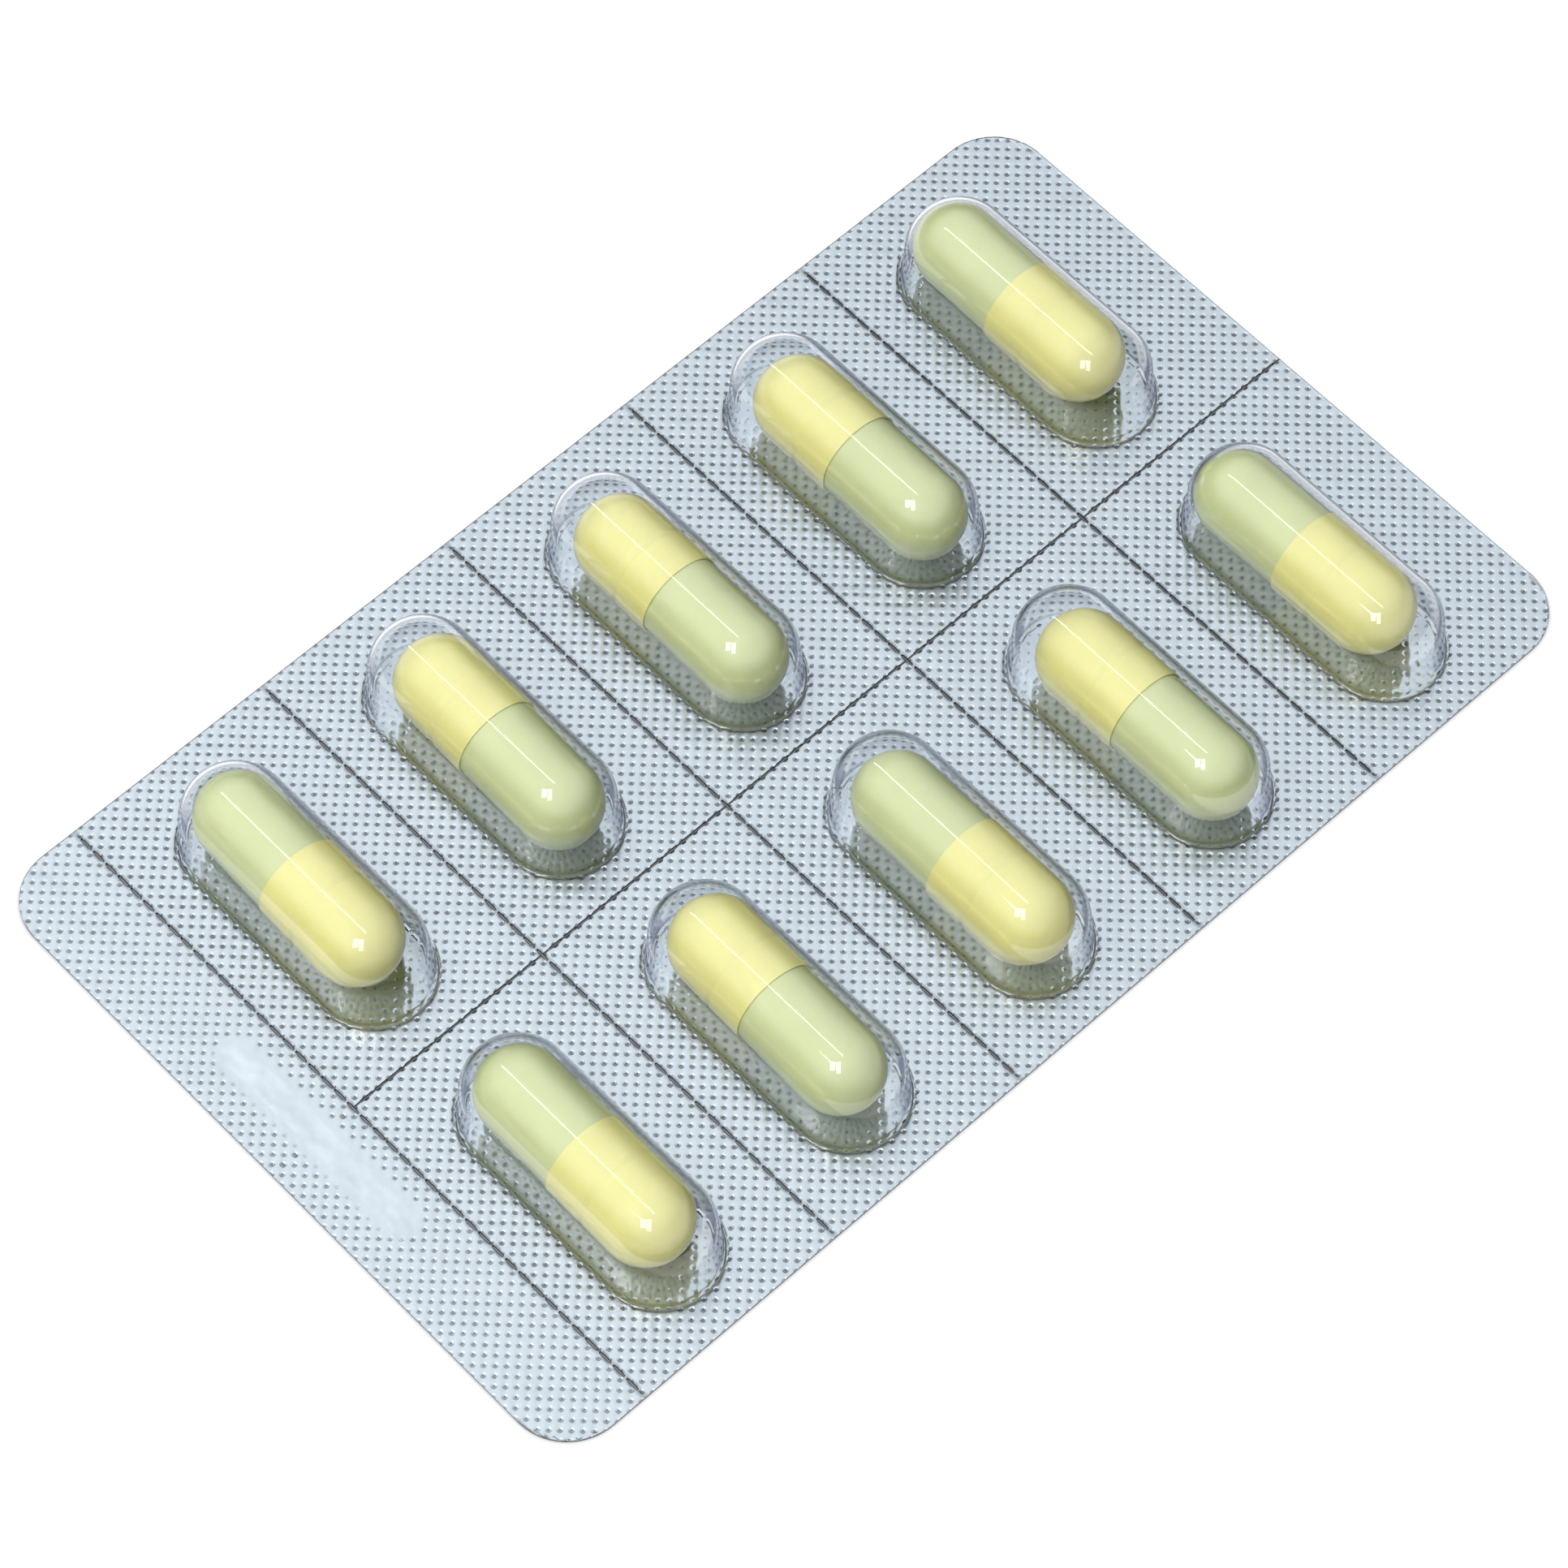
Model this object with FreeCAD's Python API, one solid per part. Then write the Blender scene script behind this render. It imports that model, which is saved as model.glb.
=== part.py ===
"""Push-through blister pack for ten two-piece hard capsules.

A clear formed film holds two rows of five long pockets. A thin foil is sealed to its flat
side, and rows of short cuts let each cell tear off. Each pocket holds one closed capsule:
a body full of powder, and a cap that slides over it and snaps at a ring.
The pack lies on its foil. Millimetres, +X along the pack, +Y across it, +Z up through the
pockets, origin at the middle of the underside.
"""
import FreeCAD, Part
import math
import os

V = FreeCAD.Vector
UP = V(0, 0, 1)

# Sheets
FOIL_THICKNESS = 0.03
FILM_THICKNESS = 0.25
CORNER_RADIUS = 5.0

# Closed capsule
CAPSULE_LENGTH = 21.7
CAP_DIAMETER = 7.65
CAP_LENGTH = 10.72
SHELL_WALL = 0.11
CAP_TO_BODY_CLEARANCE = 0.04
RIM_SETBACK = 0.1

# Snap ring pressed into cap and body
SNAP_RING_DEPTH = 0.06
SNAP_RING_WIDTH = 0.9
SNAP_RING_FROM_CAP_RIM = 3.7

# Powder plug in the body
FILL_CLEARANCE = 0.02
FILL_HEADSPACE = 0.9

# Pocket round the capsule, measured inside
SEAT_GAP = 0.03
TOP_CLEARANCE = 0.2
SIDE_CLEARANCE = 0.425
END_CLEARANCE = 1.35
WALL_DRAFT_DEG = 4.0
FOOT_RADIUS = 0.5

# Flat film round the pockets
PLAIN_BELOW_POCKET = 3.7
PLAIN_ABOVE_POCKET = 5.1
UPPER_ROW_TO_MIDDLE = 2.45
UPPER_ROW_TO_EDGE = 4.2
LOWER_ROW_TO_MIDDLE = 3.75
LOWER_ROW_TO_EDGE = 2.9
CELLS_PER_ROW = 5
END_STRIP = 8.2
END_MARGIN = 2.85

# Tear lines
CUT_LENGTH = 1.2
CUT_TIE = 0.3
CUT_WIDTH = 0.16
CUT_FROM_EDGE = 0.5

# How each capsule lies in its pocket: the end its cap points to (+1 is +Y), then its
# place across, its place along and its turn, as shares of the free play in the pocket
UPPER_ROW_LIE = [(-1, 0.0, 1.2, 0.3), (1, -0.55, -1.1, 0.25), (1, -0.5, -1.05, 0.3),
                 (1, 0.0, -0.97, 0.75), (-1, -0.1, 0.65, 0.65)]
LOWER_ROW_LIE = [(-1, -0.25, 1.2, -0.1), (1, -0.7, -1.1, 0.1), (-1, -0.65, -0.43, 0.1),
                 (1, -0.1, -0.1, 0.7), (-1, 0.1, 0.54, 0.3)]

# Capsule sizes that follow
CAP_RADIUS = CAP_DIAMETER / 2
BODY_RADIUS = CAP_RADIUS - SHELL_WALL - CAP_TO_BODY_CLEARANCE
HALF_CAPSULE = CAPSULE_LENGTH / 2
CAP_RIM = HALF_CAPSULE - CAP_LENGTH
CAP_DOME_START = HALF_CAPSULE - CAP_RADIUS
BODY_RIM = CAP_DOME_START - RIM_SETBACK
BODY_DOME_START = -(HALF_CAPSULE - BODY_RADIUS)
SNAP_RING_PLACE = CAP_RIM + SNAP_RING_FROM_CAP_RIM
FILL_TOP = BODY_RIM - FILL_HEADSPACE

# Pocket sizes that follow
DRAFT = math.radians(WALL_DRAFT_DEG)
ROOF_RADIUS = CAP_RADIUS + SIDE_CLEARANCE
ROOF_CENTRE = SEAT_GAP + CAP_DIAMETER + TOP_CLEARANCE - ROOF_RADIUS
HALF_RUN = HALF_CAPSULE + END_CLEARANCE - ROOF_RADIUS
FOOT_CENTRE_Z = FILM_THICKNESS + FOOT_RADIUS
FOOT_HALF = (ROOF_RADIUS + FILM_THICKNESS + FOOT_RADIUS
             + (ROOF_CENTRE - FOOT_CENTRE_Z) * math.sin(DRAFT)) / math.cos(DRAFT)
POCKET_LENGTH = 2 * (HALF_RUN + FOOT_HALF)

# Free play of a capsule on the foil, across the pocket and along its straight run
PLAY_ACROSS = math.sqrt(SIDE_CLEARANCE ** 2 - (SIDE_CLEARANCE - TOP_CLEARANCE) ** 2)
PLAY_ALONG = HALF_RUN - CAP_DOME_START

# Pack sizes that follow
CELL_PITCH = PLAIN_BELOW_POCKET + 2 * FOOT_HALF + PLAIN_ABOVE_POCKET
PACK_LENGTH = END_STRIP + CELLS_PER_ROW * CELL_PITCH + END_MARGIN
UPPER_HALF = UPPER_ROW_TO_MIDDLE + POCKET_LENGTH + UPPER_ROW_TO_EDGE
LOWER_HALF = LOWER_ROW_TO_MIDDLE + POCKET_LENGTH + LOWER_ROW_TO_EDGE
PACK_WIDTH = UPPER_HALF + LOWER_HALF
MIDDLE_Y = LOWER_HALF - PACK_WIDTH / 2
UPPER_ROW_Y = MIDDLE_Y + UPPER_ROW_TO_MIDDLE + POCKET_LENGTH / 2
LOWER_ROW_Y = MIDDLE_Y - LOWER_ROW_TO_MIDDLE - POCKET_LENGTH / 2
CAPSULE_AXIS_Z = FOIL_THICKNESS + SEAT_GAP + CAP_RADIUS


def tear_line_x(number):
    """Place of a cross tear line, numbered from the +X end."""
    return PACK_LENGTH / 2 - END_MARGIN - number * CELL_PITCH


def pocket_x(number):
    """Middle of a pocket, numbered from the +X end."""
    return tear_line_x(number) + PLAIN_BELOW_POCKET + FOOT_HALF


def closed_wire(edges):
    return Part.Wire(Part.__sortEdges__(edges))


def line(a, b):
    return Part.LineSegment(a, b).toShape()


def arc(a, middle, b):
    return Part.Arc(a, middle, b).toShape()


def quarter(centre, radius, start_deg):
    """Quarter circle in plan, anticlockwise from start_deg."""
    a, b, c = (centre + V(math.cos(t), math.sin(t), 0) * radius
               for t in (math.radians(start_deg + turn) for turn in (0, 45, 90)))
    return arc(a, b, c)


def pack_outline():
    """Rectangle with round corners, in plan."""
    x = PACK_LENGTH / 2 - CORNER_RADIUS
    y = PACK_WIDTH / 2 - CORNER_RADIUS
    corners = [quarter(V(sx * x, sy * y, 0), CORNER_RADIUS, start)
               for sx, sy, start in ((1, 1, 0), (-1, 1, 90), (-1, -1, 180), (1, -1, 270))]
    sides = [line(corners[i].Vertexes[-1].Point, corners[(i + 1) % 4].Vertexes[0].Point)
             for i in range(4)]
    return closed_wire(corners + sides)


def foot_outline(x, y):
    """Edge of a pocket in plan: two straight sides and two half circles."""
    r = FOOT_HALF
    top, bottom = V(x, y + HALF_RUN, 0), V(x, y - HALF_RUN, 0)
    side = V(r, 0, 0)
    return closed_wire([line(bottom + side, top + side),
                        arc(top + side, top + V(0, r, 0), top - side),
                        line(top - side, bottom - side),
                        arc(bottom - side, bottom - V(0, r, 0), bottom + side)])


def cut_outline(x, y, size_x, size_y):
    corner = V(x - size_x / 2, y - size_y / 2, 0)
    return Part.makePolygon([corner, corner + V(size_x, 0, 0), corner + V(size_x, size_y, 0),
                             corner + V(0, size_y, 0), corner])


def cut_places(start, end, margin):
    """Middles of the cuts that fit between two ends, with a margin at each."""
    pitch = CUT_LENGTH + CUT_TIE
    count = int((end - start - 2 * margin + CUT_TIE) / pitch)
    middle = (start + end) / 2
    return [middle + (k - (count - 1) / 2) * pitch for k in range(count)]


def tear_cuts():
    """Every short cut: cross lines over the full width, then the middle line cell by cell."""
    cuts = []
    for number in range(1, CELLS_PER_ROW + 1):
        x = tear_line_x(number)
        for y in cut_places(-PACK_WIDTH / 2, PACK_WIDTH / 2, CUT_FROM_EDGE):
            cuts.append(cut_outline(x, y, CUT_WIDTH, CUT_LENGTH))
    ends = [PACK_LENGTH / 2] + [tear_line_x(n) for n in range(1, CELLS_PER_ROW + 1)]
    for high, low in zip(ends, ends[1:]):
        for x in cut_places(low, high, CUT_FROM_EDGE):
            cuts.append(cut_outline(x, MIDDLE_Y, CUT_LENGTH, CUT_WIDTH))
    return cuts


def sheet(thickness, z, openings):
    """Flat sheet of the pack's outline, with openings in it that run the other way round."""
    for opening in openings:
        opening.reverse()
    face = Part.Face([pack_outline()] + openings)
    solid = face.extrude(UP * thickness)
    solid.translate(V(0, 0, z))
    return solid


def pocket_side(offset, foot_radius):
    """One surface of the pocket wall in section, from the top down to the flat film."""
    radius = ROOF_RADIUS + offset
    out = V(math.cos(DRAFT), 0, math.sin(DRAFT))
    roof_centre = V(0, 0, ROOF_CENTRE)
    foot_centre = V(FOOT_HALF, 0, FOOT_CENTRE_Z)
    half_turn = (math.pi / 2 + DRAFT) / 2
    top = roof_centre + UP * radius
    shoulder = roof_centre + V(math.cos(half_turn), 0, math.sin(half_turn)) * radius
    wall_top = roof_centre + out * radius
    wall_foot = foot_centre - out * foot_radius
    bend = (out + UP).normalize()
    flat = foot_centre - UP * foot_radius
    return top, flat, [arc(top, shoulder, wall_top), line(wall_top, wall_foot),
                       arc(wall_foot, foot_centre - bend * foot_radius, flat)]


def pocket():
    """Pocket wall: one section carried straight along the run and turned round each end."""
    inner_top, inner_flat, inner = pocket_side(0, FOOT_RADIUS + FILM_THICKNESS)
    outer_top, outer_flat, outer = pocket_side(FILM_THICKNESS, FOOT_RADIUS)
    edges = inner + outer + [line(inner_top, outer_top), line(inner_flat, outer_flat)]
    half_section = Part.Face(closed_wire(edges))
    half_section.translate(V(0, HALF_RUN, 0))
    end = half_section.revolve(V(0, HALF_RUN, 0), UP, 180)
    side = half_section.extrude(V(0, -2 * HALF_RUN, 0))
    other_end = end.mirror(V(0, 0, 0), V(0, 1, 0))
    other_side = side.mirror(V(0, 0, 0), V(1, 0, 0))
    return side.multiFuse([other_side, end, other_end]).removeSplitter()


def pockets_in_rows():
    """Each pocket's cell number, middle and capsule lie, upper row first."""
    rows = [(UPPER_ROW_Y, UPPER_ROW_LIE), (LOWER_ROW_Y, LOWER_ROW_LIE)]
    return [(pocket_x(i + 1), y, lies[i % len(lies)]) for y, lies in rows for i in range(CELLS_PER_ROW)]


def formed_film(cells):
    """Flat film with the pockets standing on it."""
    feet = [foot_outline(x, y) for x, y, _ in cells]
    flat = sheet(FILM_THICKNESS, 0, feet + tear_cuts())
    wall = pocket()
    walls = []
    for x, y, _ in cells:
        copy = wall.copy()
        copy.translate(V(x, y, 0))
        walls.append(copy)
    film = flat.multiFuse(walls).removeSplitter()
    film.translate(V(0, 0, FOIL_THICKNESS))
    return film


def shell_side(radius, dome_start, rim, sign):
    """Outside or inside of a shell in section: rim, snap ring, straight wall and dome."""
    half_ring = SNAP_RING_WIDTH / 2
    rim_point = V(radius, rim, 0)
    ring_low = V(radius, SNAP_RING_PLACE - half_ring, 0)
    ring_deep = V(radius - SNAP_RING_DEPTH, SNAP_RING_PLACE, 0)
    ring_high = V(radius, SNAP_RING_PLACE + half_ring, 0)
    near, far = (ring_low, ring_high) if sign > 0 else (ring_high, ring_low)
    dome_point = V(radius, dome_start, 0)
    slope = math.sqrt(0.5) * radius
    apex = V(0, dome_start + sign * radius, 0)
    edges = [line(rim_point, near), arc(near, ring_deep, far), line(far, dome_point),
             arc(dome_point, V(slope, dome_start + sign * slope, 0), apex)]
    return rim_point, apex, edges


def half_shell(radius, dome_start, rim, sign):
    """Thin cup with a round end, turned about the Y axis."""
    out_rim, out_apex, outside = shell_side(radius, dome_start, rim, sign)
    in_rim, in_apex, inside = shell_side(radius - SHELL_WALL, dome_start, rim, sign)
    edges = outside + inside + [line(out_rim, in_rim), line(out_apex, in_apex)]
    return Part.Face(closed_wire(edges)).revolve(V(0, 0, 0), V(0, 1, 0), 360)


def capsule_cap():
    return half_shell(CAP_RADIUS, CAP_DOME_START, CAP_RIM, 1)


def capsule_body():
    return half_shell(BODY_RADIUS, BODY_DOME_START, BODY_RIM, -1)


def capsule_fill():
    """Powder plug that follows the inside of the body up to its level."""
    radius = BODY_RADIUS - SHELL_WALL - FILL_CLEARANCE
    rim, apex, side = shell_side(radius, BODY_DOME_START, FILL_TOP, -1)
    centre = V(0, FILL_TOP, 0)
    face = Part.Face(closed_wire(side + [line(apex, centre), line(centre, rim)]))
    return face.revolve(V(0, 0, 0), V(0, 1, 0), 360)


def laid_in_pocket(shape, x, y, lie):
    """Capsule piece turned and moved to where it lies."""
    cap_end, across, along, turn = lie
    turn_deg = math.degrees(math.asin(turn * PLAY_ACROSS / CAP_DOME_START))
    placed = shape.copy()
    if cap_end < 0:
        placed.rotate(V(0, 0, 0), UP, 180)
    placed.rotate(V(0, 0, 0), UP, -turn_deg)
    placed.translate(V(x + across * PLAY_ACROSS, y + along * PLAY_ALONG, CAPSULE_AXIS_Z))
    return placed


def build():
    cells = pockets_in_rows()
    parts = {"formed_film": formed_film(cells),
             "lidding_foil": sheet(FOIL_THICKNESS, 0, tear_cuts())}
    pieces = {"capsule_cap": capsule_cap(), "capsule_body": capsule_body(),
              "capsule_fill": capsule_fill()}
    for number, (x, y, lie) in enumerate(cells, start=1):
        for name, shape in pieces.items():
            parts[f"{name}_{number:02d}"] = laid_in_pocket(shape, x, y, lie)
    return parts


os.makedirs("parts", exist_ok=True)
for node, shape in build().items():
    if not shape.isValid() or len(shape.Solids) != 1:
        raise ValueError(f"{node} is not one valid solid")
    shape.exportStep(f"parts/{node}.step")
    print(f"{node} {shape.Volume:.2f}")
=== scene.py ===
"""Looks of a push-through blister pack with ten two-piece capsules.

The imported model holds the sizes. This script lays a knurled foil and a clear formed film over
it, gives every piece its material, and sets up a plain studio. Metres, +Z up, the pack lies on
its foil.
"""
import math

import bpy
import numpy as np
from bpy.props import FloatProperty, FloatVectorProperty, IntProperty, PointerProperty
from mathutils import Matrix, Vector
from mathutils.geometry import delaunay_2d_cdt


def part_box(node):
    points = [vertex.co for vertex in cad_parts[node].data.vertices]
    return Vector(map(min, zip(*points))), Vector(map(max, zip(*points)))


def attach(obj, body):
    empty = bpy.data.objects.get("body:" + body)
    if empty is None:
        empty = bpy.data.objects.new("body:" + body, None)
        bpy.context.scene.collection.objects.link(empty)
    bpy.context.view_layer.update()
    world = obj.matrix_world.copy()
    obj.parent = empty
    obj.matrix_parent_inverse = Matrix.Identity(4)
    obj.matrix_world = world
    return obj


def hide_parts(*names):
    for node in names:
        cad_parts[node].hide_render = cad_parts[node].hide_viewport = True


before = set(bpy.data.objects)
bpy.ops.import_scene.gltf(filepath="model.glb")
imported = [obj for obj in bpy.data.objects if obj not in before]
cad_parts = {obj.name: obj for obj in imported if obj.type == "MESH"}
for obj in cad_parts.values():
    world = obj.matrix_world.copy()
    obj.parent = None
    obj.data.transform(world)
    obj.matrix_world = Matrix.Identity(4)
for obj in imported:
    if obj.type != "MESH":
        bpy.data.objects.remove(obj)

bl_info = {
    "name": "Blister pack",
    "version": (1, 0, 0),
    "blender": (4, 5, 0),
    "location": "3D View > Sidebar > Blister pack",
    "description": "Knurled foil, clear formed film, capsules and a plain studio",
    "category": "Object",
}

MM = 0.001
# Points closer than this, in metres, are one point
MERGE_WITHIN = 1e-8
# The triangulation's own choice of "triangles inside the outer loop", and its slack in millimetres
INNER_TRIANGLES = 1
TRIANGULATE_WITHIN = 1e-7
# The foil's grid has this many squares to a knurl period
SQUARES = 4
# Slack in the count of cuts that fit, so that rounding loses none
COUNT_SLACK = 1e-6
# The gap in the foil's grid at a tear line is wider than the film's cut by this on each side
CUT_CLEAR = 0.01 * MM
# Widths over which the knurl changes at the foot of a pocket and at the smooth field
POCKET_BLEND = 0.5 * MM
FIELD_BLEND = 0.3 * MM
# Shares of the pit depth: what pits lose in a pocket and on the end strip, and how far the
# smooth field lies below the land
POCKET_LOSS, STRIP_LOSS, FIELD_DEPTH = 0.5, 0.15, 0.35
# Painted shade on the foil beside a tie, where that beside a cut is 1
TIE_PAINTED_SHADE = 0.45
# Flat ring round the foot of each pocket
COLLAR = 0.3 * MM
# Kinds of face, in the order of a piece's materials; the second is painted dark as the shade
# inside the cuts
PLAIN, SHEARED_PAINTED_SHADE = 0, 1
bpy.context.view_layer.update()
FILM_LOW, FILM_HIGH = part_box("formed_film")
FOIL_LOW, FOIL_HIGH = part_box("lidding_foil")


def size(name, description, millimetres):
    """A length property, given in millimetres and held in metres."""
    return FloatProperty(name=name, description=description, default=millimetres * MM,
                         precision=5, subtype="DISTANCE", unit="LENGTH")


def angle(name, description, degrees):
    """An angle property, given in degrees and held in radians."""
    return FloatProperty(name=name, description=description, default=math.radians(degrees),
                         subtype="ANGLE", unit="ROTATION")


def factor(name, description, value, high=1.0):
    """A plain number property from zero up."""
    return FloatProperty(name=name, description=description, default=value, min=0, max=high)


def power(name, description, watts):
    """A property for a lamp's power in watts."""
    return FloatProperty(name=name, description=description, default=watts, unit="POWER")


def lens(name, description, millimetres):
    """A property for a measure of the camera, held in millimetres."""
    return FloatProperty(name=name, description=description, default=millimetres, unit="CAMERA")


def linear(code):
    """sRGB hex code to linear red, green and blue."""
    values = np.array([int(code[i:i + 2], 16) for i in (1, 3, 5)]) / 255
    low, high = values / 12.92, ((values + 0.055) / 1.055) ** 2.4
    return tuple(float(v) for v in np.where(values <= 0.04045, low, high))


def colour(name, description, code):
    """A colour property, given as an sRGB hex code and held as linear light."""
    return FloatVectorProperty(name=name, description=description, default=linear(code),
                               subtype="COLOR", size=3, min=0, max=1)


class BlisterPlan(bpy.types.PropertyGroup):
    """Sizes of the pack seen from above."""
    corner_radius: size("Corner radius", "Radius of the pack's four corners", 5.0)
    end_strip: size("End strip", "Plain strip beyond the last tear line", 8.2)
    end_margin: size("End margin", "Plain strip at the other end", 2.85)
    cells: IntProperty(name="Cells in a row", description="Cells along the pack", default=5)
    below_pocket: size("Below pocket", "Flat film from a tear line to the pocket", 3.7)
    upper_row_gap: size("Upper row gap", "From the middle line to the upper pockets", 2.45)
    lower_row_gap: size("Lower row gap", "From the middle line to the lower pockets", 3.75)
    cut_length: size("Cut length", "Length of each short cut in a tear line", 1.2)
    cut_tie: size("Cut tie", "Foil left between two cuts", 0.3)
    cut_width: size("Cut width", "Width of a cut", 0.16)
    cut_from_edge: size("Cut from edge", "Least distance from a cut to an edge", 0.5)


class BlisterPocket(bpy.types.PropertyGroup):
    """Sizes of a formed pocket."""
    film: size("Film", "Thickness of the formed film", 0.25)
    roof_radius: size("Roof radius", "Inner radius of the round roof", 4.25)
    half_run: size("Half run", "Half the straight part of a pocket", 7.95)
    foot_radius: size("Foot radius", "Outer radius where the wall meets the flat film", 0.5)
    draft: angle("Draft", "Lean of the wall", 4.0)


class BlisterKnurl(bpy.types.PropertyGroup):
    """The pattern that the sealing tool presses into the foil."""
    period: size("Knurl period", "Distance between pits along the pack", 1.2)
    land_rise: size("Land rise", "Height of the sealed land above the foil's flat side", 0.08)
    pocket_rise: size("Pocket rise", "Height of the land inside a pocket", 0.025)
    pit_depth: size("Pit depth", "Depth of a pit in the sealed land", 0.05)
    roundness: factor("Pit roundness", "Power that narrows a pit", 2.0, 8.0)
    edge_inset: size("Edge inset", "How far the foil stays inside the film's edge", 0.03)
    field_x: size("Stamped field place", "Middle of the smooth field, from the strip's end", 4.7)
    field_width: size("Stamped field width", "Width of the smooth field", 3.8)
    field_length: size("Stamped field length", "Length of the smooth field", 22.8)


class BlisterColours(bpy.types.PropertyGroup):
    """Colours of the finishes."""
    foil: colour("Foil", "Hard aluminium foil, cool silver", "#CCD3D7")
    # Painted shade at the bottom of each knurl pit
    pit_painted_shade: colour("Foil pit", "Bottom of a knurl pit", "#565D64")
    # Painted shade on the sheared edges, standing in for the shade inside the narrow cuts
    cut: colour("Cut", "Sheared edges along a tear line", "#24282D")
    cap: colour("Cap", "Pale yellow gelatin", "#E8E18E")
    cap_clear: factor("Cap see-through", "Share of light that passes a cap's shell", 0.1)
    body: colour("Body", "Pale green gelatin", "#D2D89C")
    body_clear: factor("Body see-through", "Share of light that passes a body's shell", 0.15)
    powder: colour("Powder", "Pale yellow powder", "#E9E6BE")
    film: colour("Film", "Clear film, faintly blue", "#FAFBFD")
    # Painted dark blue-grey shade on steep film walls seen edge on
    film_edge_painted_shade: colour("Film edge", "Clear film seen down along a wall", "#2C3463")
    film_shade: colour("Film shade", "Lamplight that has passed the film", "#F9FAFC")
    table: colour("Table", "White table, as light that it throws back shows it", "#E7E7E7")
    table_shade: colour("Table shade", "The part of the table that shadows darken", "#898989")
    table_glow: colour("Table glow", "The part of the table that stays bright", "#FFFFFF")
    sky_high: colour("Sky overhead", "Soft light overhead", "#E0E5E9")
    sky_low: colour("Sky near the floor", "Dark sides of the studio", "#2B2F40")


class BlisterStudio(bpy.types.PropertyGroup):
    """Camera, lamps, sky and table."""
    azimuth: angle("Camera azimuth", "Turn of the camera about the pack", -41.505)
    elevation: angle("Camera elevation", "Height of the camera above the floor", 59.962)
    roll: angle("Camera roll", "Turn of the camera about its own line of sight", -1.56)
    distance: size("Camera distance", "From the camera to the point it looks at", 515.4)
    looks_at_x: size("Looks at x", "The point in the picture's middle, along the pack", -2.335)
    looks_at_y: size("Looks at y", "The point in the picture's middle, across the pack", -1.566)
    focal_length: lens("Focal length", "Focal length of the camera", 152.15)
    sensor_width: lens("Sensor width", "Width of the camera's sensor", 36)
    nearest: size("Nearest seen", "Nothing nearer to the camera is shown", 10)
    farthest: size("Farthest seen", "Nothing farther from the camera is shown", 10000)
    lamp_distance: size("Lamp distance", "From the pack to each lamp", 800)
    strip_power: power("Strip lamp", "Power of the long lamp", 0.38)
    window_power: power("Window lamps", "Power of the two window lamps together", 2.2)
    side_power: power("Side lamp", "Power of the low, wide lamp", 1.8)
    sky_dark_below: factor("Sky dark below", "Sine of the height where the sky is dark", 0.22)
    sky_pale_above: factor("Sky pale above", "Sine of the height where the sky is pale", 0.78)
    sky_strength: factor("Sky strength", "Brightness of the sky", 1.45, 10.0)
    glow_strength: factor("Table glow strength", "Brightness of the open table", 0.85)
    glow_fade: size("Table glow fade", "How near the pack the table's glow fades", 3)
    table_reach: size("Table reach", "From the middle of the table to its edges", 3000)
    table_drop: size("Table drop", "Gap between the foil and the table", 0.02)


def add_node(tree, kind, inputs=None, **settings):
    """Adds a shader node, with its settings, and its inputs as values or links."""
    node = tree.nodes.new(kind)
    for name, value in settings.items():
        setattr(node, name, value)
    for key, value in (inputs or {}).items():
        socket = node.inputs[key]
        if isinstance(value, bpy.types.NodeSocket):
            tree.links.new(value, socket)
        elif socket.type == "RGBA":
            socket.default_value = (*value, 1.0)
        else:
            socket.default_value = value
    return node


def math_node(tree, operation, first, second=None):
    """The output of a Math node on one or two values or sockets."""
    inputs = {0: first} if second is None else {0: first, 1: second}
    return add_node(tree, "ShaderNodeMath", inputs, operation=operation).outputs[0]


def new_material(name):
    """A material with an empty node tree, and its output node."""
    material = bpy.data.materials.new(name)
    material.use_nodes = True
    material.node_tree.nodes.clear()
    return material, material.node_tree, add_node(material.node_tree, "ShaderNodeOutputMaterial")


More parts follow.
